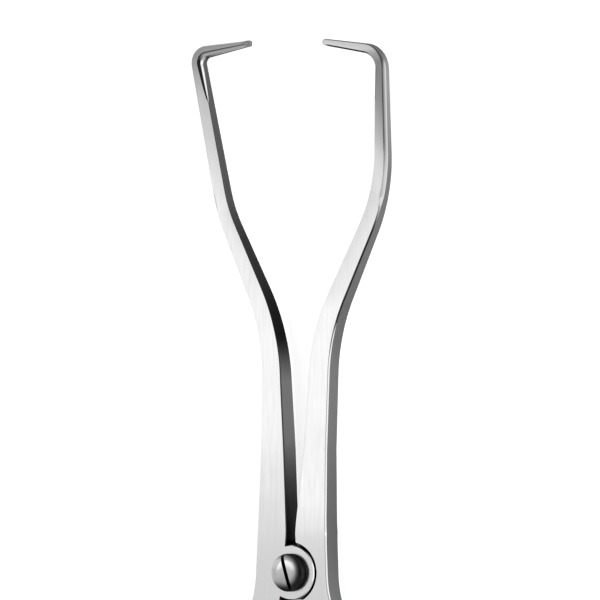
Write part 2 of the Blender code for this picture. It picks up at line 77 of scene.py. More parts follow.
# Edges along the arms, with the inner front edges as (height, size of the round) pairs. The lead-in is
# a narrow strip beside the outer facet, and meets it at these shares of the facet's width and height.
EDGE_BEVEL = 0.00034
BACK_ROUND = 0.00030
LEAD_IN = 0.85
LEAD_IN_DROP = 0.06
LEFT_INNER_EDGES = ((0.0420, 0.00026), (0.0520, 0.00012))
RIGHT_INNER_EDGES = ((0.0420, 0.00012), (0.0520, 0.00012))
LEFT_OUTER_FACET = 0.00036
RIGHT_OUTER_FACET = 0.00070
OUTER_FACET_FOOT = 0.0830
FACET_RUNOUT = 0.0022
TIP_ROUND = 0.00020
LEFT_INNER_FACET = 0.00135
RIGHT_INNER_FACET = 0.00045
INNER_FACET_FOOT = 0.1062
INNER_FACET_SWELL = 0.50
INNER_FACET_SHARE = 0.60
FACE_CROWN = 0.00004
FULL_CROWN_WIDTH = 0.0040
CROWN_START = 0.0095
CROWN_END = 0.0200
LARGEST_ROUND_SHARE = 0.45
BLUNT_WIDTH = 0.16
BLUNT_THICKNESS = 0.40

# Pivot screw
SCREW_RADIUS = 0.0022
HEAD_RADIUS = 0.0043
HEAD_SIDE = 0.0008
HEAD_DOME = 0.0011
HEAD_FLATNESS = 4.5
HEAD_ROLL = 0.7
DRIVER_SLOT_WIDTH = 0.0009
DRIVER_SLOT_DEPTH = 0.0008
DRIVER_SLOT_ANGLE = math.radians(17.0)
FIT_GAP = 0.0003
SEAT_GAP = 0.00005

# Graduated arc
ARC_RADIUS = 0.0620
ARC_WIDTH = 0.0070
ARC_THICKNESS = 0.0015
ARC_GAP = 0.0003
ARC_SEAT_PAST_CENTRE = 0.0020
ARC_END_MARGIN = 0.0032
ARC_END_BULGE = 0.0021
GUIDE_PAST_CENTRE_SHARE = 1.5
ARC_EDGE_ROUND = 0.00015
RIVET_RADIUS = 0.0010
RIVET_SPACING = 0.0038
RIVET_HEAD_RADIUS = 0.0016
RIVET_HEAD_HEIGHT = 0.0005
PIN_RADIUS = 0.0008
PIN_LENGTH = 0.0036
PIN_CLEARANCE = 0.0005

# Marks on the arc, one for each millimetre between the tips, longer at fives and tens
FULL_GAP_IN_MM = 100
MARK_WIDTH = 0.00013
MARK_HEIGHT = 0.00001
MARK_START = 0.0588
MARK_LENGTHS = {1: 0.0012, 5: 0.0018, 10: 0.0024}
NUMBER_STEP = 10
NUMBER_RADIUS = 0.0634
NUMBER_SIZE = 0.0021

# Thumb screw
LOCK_SHANK_RADIUS = 0.0015
LOCK_NECK_RADIUS = 0.0022
LOCK_NECK_HEIGHT = 0.0010
LOCK_HEAD_RADIUS = 0.0037
LOCK_HEAD_HEIGHT = 0.0042
LOCK_DISH_RADIUS = 0.0020
LOCK_GROOVE_DEPTH = 0.00025
LOCK_GROOVES = 20
GROOVE_AT_RIM_SHARE = 0.2

# Fineness of curved surfaces
ROUND_SEGMENTS = 192
SMALL_SEGMENTS = 64
PATH_STEP = 0.0010
BEND_STEP = math.radians(2.0)
ARC_STEP = math.radians(0.75)
END_STEPS = 10
EDGE_STEPS = 5
INNER_FACET_STEPS = 8
FACE_STEPS = 6
POINTS_PER_GROOVE = 12
HEAD_STEPS = 30
BEVEL_STEPS = 3
BEVEL_FROM_ANGLE = math.radians(50.0)
SHARP_FROM_ANGLE = math.radians(32.0)
FLAT_FACE_WEIGHT = 80

# How far a cutting tool reaches past what it cuts
OVERSHOOT = 0.010

# Worked out from the sizes above
PIVOT = Vector((0.0, 0.0))
MID_PLANE = JOINT_THICKNESS / 2
RECESS_RADIUS = BOSS_RADIUS + RING_GAP
PAST_RECESS = RECESS_RADIUS + RIM_BEVEL
PAST_RECESS_BEVEL = RECESS_RADIUS + 3 * RIM_BEVEL
PIVOT_BORE = SCREW_RADIUS + FIT_GAP
PIN_EDGE_ROUND = RIM_BEVEL / 3
HEAD_CROWN = JOINT_THICKNESS + FIT_GAP + HEAD_SIDE + HEAD_DOME
LEFT_TIP = Vector(LEFT_BENDS[-1])
RIGHT_TIP = Vector(RIGHT_BENDS[-1])
TIP_REACH = (LEFT_TIP.length + RIGHT_TIP.length) / 2
CLOSING_TRAVEL = math.atan2(LEFT_TIP.x, LEFT_TIP.y) + math.atan2(RIGHT_TIP.x, RIGHT_TIP.y)


def travel_for(gap_in_mm):
    # How far the jaw turns from tips that meet to a gap between them.
    return 2 * math.asin(gap_in_mm / 1000 / (2 * TIP_REACH))


OPENING_TRAVEL = travel_for(FULL_GAP_IN_MM) - CLOSING_TRAVEL
SHANK_ANGLE = OPENING_TRAVEL / 2

# Painted light and shade, as shares of the steel's own colour: painted shade in gaps and the slot, painted
# dark reflections on edge lines, and painted shade on the tips
PAINTED_DARK_TONE = 0.03
PAINTED_DARK_LINE_TONE = 0.06
PAINTED_TIP_UNDERSIDE_SHADE = 0.35
PAINTED_RIGHT_END_SHADE = 0.85

# Painted light and shade at heights along the arms: painted reflections and falloff on the faces, and
# painted reflections on the walls and bevelled edges
LEFT_FACE_PAINTED_LIGHT = ((-0.0050, 0.93), (0.0050, 0.90), (0.0160, 0.88), (0.0230, 0.93), (0.0320, 1.00),
                   (0.0800, 1.00), (0.0900, 0.95), (0.1020, 0.88), (0.1070, 0.85), (0.1120, 0.68),
                   (0.1150, 0.55), (0.1170, 0.48))
RIGHT_FACE_PAINTED_LIGHT = ((-0.0050, 0.92), (0.0100, 0.92), (0.0160, 1.00), (0.0590, 1.03), (0.0640, 0.93),
                    (0.0900, 0.95), (0.0940, 0.86), (0.0976, 0.68), (0.1020, 0.55), (0.1066, 0.43),
                    (0.1150, 0.38), (0.1170, 0.60), (0.1180, 0.95))
LEFT_WALL_PAINTED_LIGHT = ((-0.0220, 0.80), (-0.0080, 0.12), (0.0070, 0.12), (0.0120, 0.16), (0.0165, 0.20),
                   (0.0210, 0.32), (0.0255, 0.56), (0.0295, 0.86), (0.0350, 0.89), (0.0430, 0.90),
                   (0.0480, 0.42), (0.0500, 0.22), (0.0530, 0.08), (0.0610, 0.12), (0.0660, 0.20),
                   (0.0750, 0.24), (0.0840, 0.40), (0.1060, 0.52))
RIGHT_WALL_PAINTED_LIGHT = ((-0.0050, 0.84), (0.0050, 0.70), (0.0120, 0.68), (0.0200, 0.72), (0.0280, 0.84),
                    (0.0400, 0.92), (0.0460, 0.90), (0.0520, 0.76), (0.0600, 0.74), (0.0680, 0.84),
                    (0.0900, 0.90), (0.0960, 1.20), (0.1100, 1.55), (0.1150, 1.40), (0.1170, 0.90))
RIGHT_EDGE_PAINTED_LIGHT = ((0.0535, 1.12), (0.0565, 0.06), (0.0770, 0.06), (0.0830, 0.75), (0.1178, 0.80))
LEAD_IN_PAINTED_LIGHT = ((0.0480, 0.62), (0.0520, 0.04), (0.0790, 0.04), (0.0830, 0.50), (0.0900, 0.50),
                 (0.0970, 0.08))

# Painted reflections and shade on the edges, by an edge's tilt from upright or its turn from the right,
# both in degrees
TIP_FACET_PAINTED_LIGHT = ((0.0, 0.10), (13.0, 0.10), (23.0, 0.62), (56.0, 0.62), (68.0, 0.30), (90.0, 0.30))
TIP_FACET_TURN = (10.0, 60.0)
ARM_FACET_SPLIT = 44.0
LEFT_LINE_TURN = (-70.0, 110.0)
LEAD_IN_TILT = 35.0
RIGHT_EDGE_TURN = 60.0
RIGHT_TIP_PAINTED_LIGHT = ((60.0, 0.06), (115.0, 0.06), (140.0, 0.45))
CORNER_SHADE_TURN = 8.0
CORNER_SHADE = ((8.0, 0.80), (20.0, 0.38), (60.0, 0.38), (80.0, 0.50))

# Painted reflection on the front disc's bevel, dark or bright at angles round the pivot
BOSS_BEVEL_PAINTED_LIGHT = ((-80.0, 0.05), (-60.0, 0.30), (-40.0, 1.00), (30.0, 1.00), (52.0, 0.05),
                    (80.0, 0.05), (92.0, 1.00))

# Where the tips' own painted shade begins, and how the left one's painted darkening fades
LEFT_TIP_END = -0.0134
LEFT_END_FADE = 0.35
LEFT_END_REACH = (-0.0150, -0.0130)
RIGHT_TIP_END = 0.0078
RIGHT_CORNER_FOOT = 0.1100

# How much painted shade darkens the right face from its inner to its outer edge, at heights along the arm
RIGHT_FACE_LEANS = ((0.0880, 0.0), (0.0950, 0.22), (0.1080, 0.26), (0.1130, 0.0))
RIGHT_FACE_LEAN_FROM = 0.0212
RIGHT_FACE_LEAN_WIDTH = 0.0030

# Painted reflections on the small pieces by how far a face looks up, and painted shade in the thumb screw's
# grooves
SIDE_PAINTED_LIGHT = ((0.0, 0.34), (0.30, 0.38), (0.70, 0.62), (0.97, 1.00))
GROOVE_PAINTED_SHADE = 0.55

# The pivot screw's head: painted light from its lower to its upper edge, a painted highlight spot with
# painted dark reflection beyond it, and its slot painted dark as shade
HEAD_LIGHTS = ((-0.0040, 0.34), (-0.0018, 0.66), (0.0005, 0.84), (0.0022, 1.00), (0.0035, 1.20))
HEAD_LIGHT_SPOT = Vector((-0.0006, 0.0003))
HEAD_LIGHT_REACH = (0.0022, 0.0040)
HEAD_LEFT_SHARE = 0.5
SLOT_WIDTH_SHARE = 0.51
SLOT_DEPTH_SHARE = 0.9

# How upright a face's normal is on the front and back, and how flat on the sides
FLAT_ENOUGH = 0.9965
STEEP_ENOUGH = 0.30

# Noise in the materials and the height of the ground surface's grain
NOISE_RANGE = (0.3, 0.7)
GRAIN_SCALE = 2.0
GRAIN_DETAIL = 4.0
GRAIN_STRENGTH = 0.12
GRAIN_HEIGHT = 0.00002
CLOUD_DETAIL = 3.0
SPECK_SCALE = 1500.0
SPECK_TONE = 0.35
INK_SCALE = 3000.0
INK_TONES = (0.012, 0.05)
INK_ROUGHNESS = 0.6

# Camera, matched to the photograph
CAMERA_AZIMUTH = math.radians(32.0)
CAMERA_TARGET = Vector((0.000842, 0.061478, MID_PLANE))
CAMERA_DISTANCE = 2.0
CAMERA_FOCAL_PIXELS = 8858.72
IMAGE_PIXELS = 600
SENSOR_WIDTH = 36.0

# Studio: an even grey room with soft zones, as (direction, inner and outer angle, strength)
WORLD_LIGHT = 0.66
WORLD_ZONES = (
    ((0.53, 0.0, 0.85), 8.0, 20.0, 0.25),
    ((0.94, 0.0, 0.34), 24.0, 34.0, 1.15),
)
PANEL_SPOT = (-0.175, 0.050, 0.300)
PANEL_TARGET = (0.010, 0.050, 0.0)
PANEL_SIZE = (0.100, 0.180)
PANEL_POWER = 0.0255

# Floor, a little below the part so that the two don't share a plane
FLOOR_HALF = 3.0
FLOOR_DROP = 0.00002
FLOOR_CLOUD_SCALE = 40.0
FLOOR_TONES = (0.80, 0.82)
FLOOR_GLOW = 0.62


def turned_by(vector, angle):
    cosine, sine = math.cos(angle), math.sin(angle)
    return Vector((vector.x * cosine - vector.y * sine, vector.x * sine + vector.y * cosine))


def on_circle(radius, angle, side):
    # A point below the pivot, at an angle from straight down towards one side.
    return Vector((side * radius * math.sin(angle), -radius * math.cos(angle)))


def outwards_at(angle, side):
    # The direction along such a circle, away from straight down.
    return Vector((side * math.cos(angle), math.sin(angle)))


def clamped(share):
    return min(1.0, max(0.0, share))


def ease(value, start, end):
    share = clamped((value - start) / (end - start))
    return share * share * (3 - 2 * share)


def between(value, stations):
    # Straight interpolation in a list of (place, value) pairs.
    for (low, first), (high, second) in zip(stations, stations[1:]):
        if value <= high:
            return first + (second - first) * clamped((value - low) / (high - low))
    return stations[-1][1]


class Path:
    """A line of straight runs and round bends, sampled with its directions."""

    def __init__(self, corners, radii):
        self.points = []
        self.directions = []
        self.lengths = []
        self.corner_lengths = [0.0]
        runs = [(after - before).normalized() for before, after in zip(corners, corners[1:])]
        self.add(corners[0], runs[0])
        for index, radius in enumerate(radii, start=1):
            before, after = runs[index - 1], runs[index]
            turn = before.angle_signed(after)
            setback = radius * math.tan(abs(turn) / 2)
            self.straight_to(corners[index] - before * setback, before)
            self.bend(before, -turn, radius)
            self.corner_lengths.append(self.lengths[-1] - radius * abs(turn) / 2)
        self.straight_to(corners[-1], runs[-1])
        self.corner_lengths.append(self.lengths[-1])

    def add(self, point, direction):
        gone = (point - self.points[-1]).length + self.lengths[-1] if self.points else 0.0
        self.lengths.append(gone)
        self.points.append(point.copy())
        self.directions.append(direction.normalized())

    def straight_to(self, end, direction):
        start = self.points[-1]
        steps = max(1, round((end - start).length / PATH_STEP))
        for step in range(1, steps + 1):
            self.add(start.lerp(end, step / steps), direction)

    def bend(self, before, turn, radius):
        start = self.points[-1]
        centre = start + Vector((-before.y, before.x)) * radius * math.copysign(1.0, turn)
        steps = max(2, math.ceil(abs(turn) / BEND_STEP), math.ceil(abs(turn) * radius / PATH_STEP))
        for step in range(1, steps + 1):
            angle = turn * step / steps
            self.add(centre + turned_by(start - centre, angle), turned_by(before, angle))

    def at(self, length):
        for index in range(1, len(self.lengths)):
            if self.lengths[index] >= length or index == len(self.lengths) - 1:
                span = self.lengths[index] - self.lengths[index - 1]
                share = (length - self.lengths[index - 1]) / span
                point = self.points[index - 1].lerp(self.points[index], share)
                direction = self.directions[index - 1].lerp(self.directions[index], share)
                return point, direction.normalized()

    def length_at_height(self, height):
        stations = [(point.y, length) for point, length in zip(self.points, self.lengths)]
        return between(height, stations)


def loft(rings):
    builder = bmesh.new()
    loops = [[builder.verts.new(point) for point in ring] for ring in rings]
    for lower, upper in zip(loops, loops[1:]):
        count = len(lower)
        for index in range(count):
            following = (index + 1) % count
            builder.faces.new((lower[index], lower[following], upper[following], upper[index]))
    builder.faces.new(loops[0])
    builder.faces.new(loops[-1])
    return builder


def add_object(name, builder):
    mesh = bpy.data.meshes.new(name)
    bmesh.ops.recalc_face_normals(builder, faces=builder.faces)
    builder.to_mesh(mesh)
    builder.free()
    new_object = bpy.data.objects.new(name, mesh)
    bpy.context.scene.collection.objects.link(new_object)
    return new_object


def prism(outline, low, high):
    # An outline of (x, y) points, raised from one height to another.
    return loft([[(x, y, height) for x, y in outline] for height in (low, high)])


def turned(profile, segments):
    # A profile of (radius, height) pairs from the lower to the upper face.
    angles = [2 * math.pi * index / segments for index in range(segments)]
    rings = []
    for radius, height in profile:
        rings.append([(radius * math.cos(angle), radius * math.sin(angle), height) for angle in angles])
    return loft(rings)


def turned_tool(name, profile, segments=ROUND_SEGMENTS, spot=PIVOT):
    tool = add_object(name, turned(profile, segments))
    tool.location = (spot.x, spot.y, 0.0)
    return tool


def combined(target, tools, operation):
    """Cuts the tools out of the target or joins them to it, and leaves the tools in place."""
    for tool in tools:
        modifier = target.modifiers.new(tool.name, 'BOOLEAN')
        modifier.operation = operation
        modifier.solver = 'EXACT'
        modifier.object = tool
    bpy.context.view_layer.update()
    graph = bpy.context.evaluated_depsgraph_get()
    mesh = bpy.data.meshes.new_from_object(target.evaluated_get(graph))
    target.modifiers.clear()
    target.data = mesh


def remove(tools):
    for tool in tools:
        bpy.data.objects.remove(tool, do_unlink=True)


def smooth(piece):
    piece.data.shade_smooth()
    piece.data.set_sharp_from_angle(angle=SHARP_FROM_ANGLE)
    normals = piece.modifiers.new("even_faces", 'WEIGHTED_NORMAL')
    normals.keep_sharp = True
    normals.weight = FLAT_FACE_WEIGHT


def rounded_edges(piece, width):
    modifier = piece.modifiers.new("edge", 'BEVEL')
    modifier.width = width
    modifier.segments = BEVEL_STEPS
    modifier.limit_method = 'ANGLE'
    modifier.angle_limit = BEVEL_FROM_ANGLE


def quarter(corner, first, second, radius, steps):
    # Points of a round between two faces that meet at a corner, without its last one.
    points = []
    for step in range(steps):
        swing = math.pi / 2 * step / steps
        along_first = radius * (1 - math.sin(swing))
        along_second = radius * (1 - math.cos(swing))
        points.append(corner + first * along_first + second * along_second)
    return points


def arm_section(width, thickness, inner_round, outer_round, back_round, crown):
    # The outline across an arm as (outwards, upwards) vectors, from its inner front edge round.
    half = width / 2
    up = thickness / 2
    edge = up - crown
    right, left = Vector((1.0, 0.0)), Vector((-1.0, 0.0))
    above, below = Vector((0.0, 1.0)), Vector((0.0, -1.0))
    outline = quarter(Vector((-half, edge)), right, below, inner_round, INNER_FACET_STEPS)
    outline += [Vector((-half, edge - inner_round))]
    outline += quarter(Vector((-half, -up)), above, right, back_round, EDGE_STEPS)
    outline += [Vector((-half + back_round, -up))]
    outline += quarter(Vector((half, -up)), left, above, back_round, EDGE_STEPS)
    outline += [Vector((half, -up + back_round))]
    outline += [Vector((half, edge - outer_round))]
    outline += [Vector((half - LEAD_IN * outer_round, edge - LEAD_IN_DROP * outer_round))]
    outline += [Vector((half - outer_round, edge))]
    start, end = half - outer_round, -half + inner_round
    for step in range(1, FACE_STEPS):
        share = step / FACE_STEPS
        rise = crown * 4 * share * (1 - share)
        outline.append(Vector((start + (end - start) * share, edge + rise)))
    return outline


def arm_corners(side, bends):
    down = on_circle(1.0, SHANK_ANGLE, side)
    out = outwards_at(SHANK_ANGLE, side)
    heel = down * SHANK_REACH + out * (HEEL_WIDTH / 2 + SHANK_CLEARANCE)
    hip = down * RECESS_RADIUS + out * (HIP_WIDTH / 2 + SHANK_CLEARANCE)
    return [heel, hip, *(Vector((side * away, height)) for away, height in bends)]


def rounding(gone, radius):
    # How much of its full width a round end has at a distance from its outermost point.
    return math.sqrt(1 - (1 - gone / radius) ** 2)


def arm_blank(side, bends, radii, widths, thicknesses, inner_edge, inner_facet, outer_facet):
    """The forging without its joint: sections swept from the heel to the tip."""
    path = Path(arm_corners(side, bends), radii)
    total = path.lengths[-1]
    width_stations = list(zip(path.corner_lengths, widths))
    thickness_stations = list(zip(path.corner_lengths, thicknesses))
    corner_length = path.corner_lengths[-2]
    corner_round = radii[-1]
    heel_round = HEEL_WIDTH / 2
    tip_round = widths[-1] / 2
    outer_foot = path.length_at_height(OUTER_FACET_FOOT)
    inner_foot = path.length_at_height(INNER_FACET_FOOT)

    places = {length for length in path.lengths if heel_round < length < total - tip_round}
    places.update((outer_foot, outer_foot + FACET_RUNOUT, inner_foot))
    for step in range(END_STEPS + 1):
        swing = math.pi / 2 * step / END_STEPS
        places.add(heel_round * (1 - math.cos(swing)))
        places.add(total - tip_round * (1 - math.cos(swing)))

    rings = []
    for length in sorted(places):
        point, direction = path.at(length)
        width = between(length, width_stations)
        thickness = between(length, thickness_stations)
        past_corner = clamped((length - corner_length) / (total - corner_length))

        outer_rise = clamped((length - outer_foot) / FACET_RUNOUT)
        outer_round = EDGE_BEVEL + (outer_facet - EDGE_BEVEL) * outer_rise
        leaving = ease(length, corner_length - corner_round, corner_length + corner_round)
        outer_round += (TIP_ROUND - outer_round) * leaving
        inner_rise = clamped((length - inner_foot) / (corner_length - inner_foot)) ** INNER_FACET_SWELL
        inner_start = between(point.y, inner_edge)
        inner_round = inner_start + (inner_facet - inner_start) * inner_rise
        back_round = BACK_ROUND + (TIP_ROUND - BACK_ROUND) * past_corner
        crown = FACE_CROWN * ease(abs(point.y), CROWN_START, CROWN_END)

        if length < heel_round:
            width *= max(BLUNT_WIDTH, rounding(length, heel_round))
        if total - length < tip_round:
            share = rounding(total - length, tip_round)
            width *= max(BLUNT_WIDTH, share)
            thickness *= max(BLUNT_THICKNESS, share)
        smallest = min(width, thickness)
        inner_round = min(inner_round, INNER_FACET_SHARE * smallest)
        outer_round = min(outer_round, LARGEST_ROUND_SHARE * smallest)
        back_round = min(back_round, LARGEST_ROUND_SHARE * smallest)
        crown *= clamped((width - inner_round - outer_round) / FULL_CROWN_WIDTH)
        section = arm_section(width, thickness, inner_round, outer_round, back_round, crown)

        # Outwards is to the left of the path on the left arm and to its right on the right arm.
        outwards = Vector((direction.y, -direction.x)) * side
        ring = []
        for across in section:
            spot = point + outwards * across.x
            ring.append((spot.x, spot.y, MID_PLANE + across.y))
        rings.append(ring)
    return loft(rings)


def disc_tool(name, low, high, front):
    # One arm's half of the lap, with its bevel at the outer face.
    narrow = BOSS_RADIUS - RIM_BEVEL
    if front:
        return turned_tool(name, [(BOSS_RADIUS, low), (BOSS_RADIUS, high - RIM_BEVEL), (narrow, high)])
    return turned_tool(name, [(narrow, low), (BOSS_RADIUS, low + RIM_BEVEL), (BOSS_RADIUS, high)])


def recess_tool(name, floor, front):
    # The round room for the other arm's disc, with a bevel where it opens on a face.
    up = 1 if front else -1
    face = JOINT_THICKNESS if front else 0.0
    room = RECESS_RADIUS if front else BOSS_RADIUS + BACK_RING_GAP
    bevel = RECESS_BEVEL if front else BACK_RING_GAP
    wide = room + 2 * bevel
    profile = [
        (room, floor),
        (room, face - up * bevel),
        (wide, face + up * bevel),
        (wide, face + up * OVERSHOOT),
    ]
    return turned_tool(name, profile if front else profile[::-1])


def hole_tool(name, radius, spot, low=-OVERSHOOT):
    # A straight hole from the front, right through unless its lower end is given.
    return turned_tool(name, [(radius, low), (radius, OVERSHOOT)], SMALL_SEGMENTS, spot)


def rivet_hole_tools():
    return [hole_tool("rivet_hole", RIVET_RADIUS + FIT_GAP, spot) for spot in rivet_spots()]


def arc_band(name, start, end, width, thickness, round_end=False):
    # A flat band round the pivot, between two angles counted from straight down to the right.
    steps = math.ceil((end - start) / ARC_STEP)
    inner, outline = [], []
    for step in range(steps + 1):
        angle = start + (end - start) * step / steps
        inner.append(on_circle(ARC_RADIUS - width / 2, angle, 1))
        outline.append(on_circle(ARC_RADIUS + width / 2, angle, 1))
    if round_end:
        radial = on_circle(1.0, end, 1)
        along = outwards_at(end, 1)
        for step in range(1, 3 * END_STEPS):
            swing = math.pi * step / (3 * END_STEPS)
            across = ARC_RADIUS + width / 2 * math.cos(swing)
            outline.append(radial * across + along * ARC_END_BULGE * math.sin(swing))
    outline.extend(reversed(inner))
    return add_object(name, prism(outline, MID_PLANE - thickness / 2, MID_PLANE + thickness / 2))


def shank_width_at_arc():
    share = (ARC_RADIUS - RECESS_RADIUS) / (SHANK_REACH - RECESS_RADIUS)
    return HIP_WIDTH + (HEEL_WIDTH - HIP_WIDTH) * share


def inner_edge_angle():
    # Where a shank's inner edge crosses the arc, from straight down.
    return SHANK_ANGLE + SHANK_CLEARANCE / ARC_RADIUS


def shank_centre_angle():
    return SHANK_ANGLE + math.asin((shank_width_at_arc() / 2 + SHANK_CLEARANCE) / ARC_RADIUS)


def lock_spot():
    return on_circle(ARC_RADIUS, shank_centre_angle(), 1)


def rivet_spots():
    return [on_circle(ARC_RADIUS + offset, shank_centre_angle(), -1)
            for offset in (-RIVET_SPACING / 2, RIVET_SPACING / 2)]


def arc_ends():
    centre = shank_centre_angle()
    seat_end = -centre - ARC_SEAT_PAST_CENTRE / ARC_RADIUS
    half_shank = shank_width_at_arc() / 2 / ARC_RADIUS
    pin_angle = centre + half_shank + CLOSING_TRAVEL + (PIN_RADIUS + PIN_CLEARANCE) / ARC_RADIUS
    free_end = pin_angle + (ARC_END_MARGIN - PIN_RADIUS) / ARC_RADIUS
    return seat_end, pin_angle, free_end


def make_arms():
    left_arm = add_object("left_arm_steel", arm_blank(
        -1, LEFT_BENDS, LEFT_RADII, LEFT_WIDTHS, LEFT_THICKNESSES,
        LEFT_INNER_EDGES, LEFT_INNER_FACET, LEFT_OUTER_FACET))
    right_arm = add_object("right_arm_steel", arm_blank(
        1, RIGHT_BENDS, RIGHT_RADII, RIGHT_WIDTHS, RIGHT_THICKNESSES,
        RIGHT_INNER_EDGES, RIGHT_INNER_FACET, RIGHT_OUTER_FACET))

    lap_front = MID_PLANE + LAP_GAP / 2
    lap_back = MID_PLANE - LAP_GAP / 2
    front_disc = disc_tool("front_disc", lap_front, JOINT_THICKNESS, True)
    back_disc = disc_tool("back_disc", 0.0, lap_back, False)
    front_room = recess_tool("front_room", lap_back, True)
    back_room = recess_tool("back_room", lap_front, False)
    combined(left_arm, [back_room], 'DIFFERENCE')
    combined(left_arm, [front_disc], 'UNION')
    combined(right_arm, [front_room], 'DIFFERENCE')
    combined(right_arm, [back_disc], 'UNION')

    # Bores for the screws and rivets, the arc's seat and its guide.
    seat_end = arc_ends()[0]
    room_width = ARC_WIDTH + 2 * ARC_GAP
    room_thickness = ARC_THICKNESS + 2 * ARC_GAP
    past_shank = shank_centre_angle() + GUIDE_PAST_CENTRE_SHARE * shank_width_at_arc() / ARC_RADIUS
    bore = hole_tool("pivot_bore", PIVOT_BORE, PIVOT)
    seat = arc_band("arc_seat", seat_end - ARC_GAP / ARC_RADIUS, 0.0, room_width, room_thickness)
    guide = arc_band("arc_guide", 0.0, past_shank, room_width, room_thickness)
    lock_hole = hole_tool("lock_hole", LOCK_SHANK_RADIUS + FIT_GAP, lock_spot(), MID_PLANE)
    rivet_holes = rivet_hole_tools()
    combined(left_arm, [bore, seat, *rivet_holes], 'DIFFERENCE')
    combined(right_arm, [bore, guide, lock_hole], 'DIFFERENCE')
    remove([front_disc, back_disc, front_room, back_room, bore, seat, guide, lock_hole, *rivet_holes])
    return left_arm, right_arm


def dome_profile(radius, base, height, steps):
    # A spherical cap from its rim almost to its crown.
    sphere = (radius ** 2 + height ** 2) / (2 * height)
    reach = math.asin(radius / sphere)
    profile = []
    for step in range(steps):
        angle = reach * (1 - step / steps)
        rise = sphere * (math.cos(angle) - math.cos(reach))
        profile.append((sphere * math.sin(angle), base + rise))
    return profile


def make_pivot_screw():
    under_head = JOINT_THICKNESS + SEAT_GAP
    profile = [
        (SCREW_RADIUS, 0.0),
        (SCREW_RADIUS, under_head),
        (HEAD_RADIUS - RIM_BEVEL, under_head),
        (HEAD_RADIUS, under_head + RIM_BEVEL),
    ]
    rim = JOINT_THICKNESS + FIT_GAP + HEAD_SIDE
    for step in range(HEAD_STEPS):
        share = math.cos(math.pi / 2 * step / HEAD_STEPS)
        rise = HEAD_DOME * (1 - share ** HEAD_FLATNESS) ** HEAD_ROLL
        profile.append((HEAD_RADIUS * share, rim + rise))
    screw = add_object("pivot_screw_steel", turned(profile, ROUND_SEGMENTS))

    half = DRIVER_SLOT_WIDTH / 2
    outline = ((-half, -OVERSHOOT), (half, -OVERSHOOT), (half, OVERSHOOT), (-half, OVERSHOOT))
    floor = HEAD_CROWN - DRIVER_SLOT_DEPTH
    slot = add_object("driver_slot", prism(outline, floor, HEAD_CROWN + OVERSHOOT))
    slot.rotation_euler = (0.0, 0.0, DRIVER_SLOT_ANGLE)
    combined(screw, [slot], 'DIFFERENCE')
    remove([slot])
    return screw


def make_rivet(name, spot):
    seat = JOINT_THICKNESS + FIT_GAP
    profile = [(RIVET_RADIUS, 0.0), (RIVET_RADIUS, seat)]
    profile.extend(dome_profile(RIVET_HEAD_RADIUS, seat, RIVET_HEAD_HEIGHT, END_STEPS))
    rivet = add_object(name, turned(profile, SMALL_SEGMENTS))
    rivet.location = (spot.x, spot.y, 0.0)
    return rivet


def make_arc():
    seat_end, pin_angle, free_end = arc_ends()
    arc = arc_band("scale_arc_steel", seat_end, free_end, ARC_WIDTH, ARC_THICKNESS, round_end=True)
    pin_spot = on_circle(ARC_RADIUS, pin_angle, 1)
    holes = rivet_hole_tools()
    holes.append(hole_tool("pin_hole", PIN_RADIUS + FIT_GAP, pin_spot))
    combined(arc, holes, 'DIFFERENCE')
    remove(holes)
    rounded_edges(arc, ARC_EDGE_ROUND)

    low = MID_PLANE - PIN_LENGTH / 2
    high = MID_PLANE + PIN_LENGTH / 2
    pin_profile = [
        (PIN_RADIUS - RIM_BEVEL, low),
        (PIN_RADIUS, low + RIM_BEVEL),
        (PIN_RADIUS, high - RIM_BEVEL),
        (PIN_RADIUS - RIM_BEVEL, high),
    ]
    pin = add_object("stop_pin_steel", turned(pin_profile, SMALL_SEGMENTS))
    pin.location = (pin_spot.x, pin_spot.y, 0.0)
    rounded_edges(pin, PIN_EDGE_ROUND)
    return arc, pin


def mark_angle(gap_in_mm):
    # The right shank's inner edge reads the gap between the tips, and meets its own at rest.
    return inner_edge_angle() - (travel_for(gap_in_mm) - CLOSING_TRAVEL)


def mark_length(gap_in_mm):
    return MARK_LENGTHS[max(step for step in MARK_LENGTHS if gap_in_mm % step == 0)]


def make_marks():
    """Filled lines for each millimetre between the tips, longer at fives and tens."""
    builder = bmesh.new()
    top = MID_PLANE + ARC_THICKNESS / 2
    for gap in range(FULL_GAP_IN_MM + 1):
        angle = mark_angle(gap)
        radial = on_circle(1.0, angle, 1)
        sideways = outwards_at(angle, 1) * MARK_WIDTH / 2
        near, far = radial * MARK_START, radial * (MARK_START + mark_length(gap))
        outline = (near - sideways, near + sideways, far + sideways, far - sideways)
        lower = [builder.verts.new((spot.x, spot.y, top - MARK_HEIGHT)) for spot in outline]
        upper = [builder.verts.new((spot.x, spot.y, top + MARK_HEIGHT)) for spot in outline]
        builder.faces.new(lower[::-1])
        builder.faces.new(upper)
        for index in range(len(outline)):
            following = (index + 1) % len(outline)
            builder.faces.new((lower[index], lower[following], upper[following], upper[index]))
    return add_object("scale_lines", builder)


def make_numbers():
    numbers = []
    for gap in range(0, FULL_GAP_IN_MM + 1, NUMBER_STEP):
        words = bpy.data.curves.new(f"scale_number_{gap}", 'FONT')
        words.body = str(gap)
        words.size = NUMBER_SIZE
        words.align_x = 'CENTER'
        words.align_y = 'CENTER'
        words.extrude = MARK_HEIGHT
        number = bpy.data.objects.new(words.name, words)
        bpy.context.scene.collection.objects.link(number)
        angle = mark_angle(gap)
        spot = on_circle(NUMBER_RADIUS, angle, 1)
        number.location = (spot.x, spot.y, MID_PLANE + ARC_THICKNESS / 2)
        number.rotation_euler = (0.0, 0.0, angle)
        numbers.append(number)
    return numbers


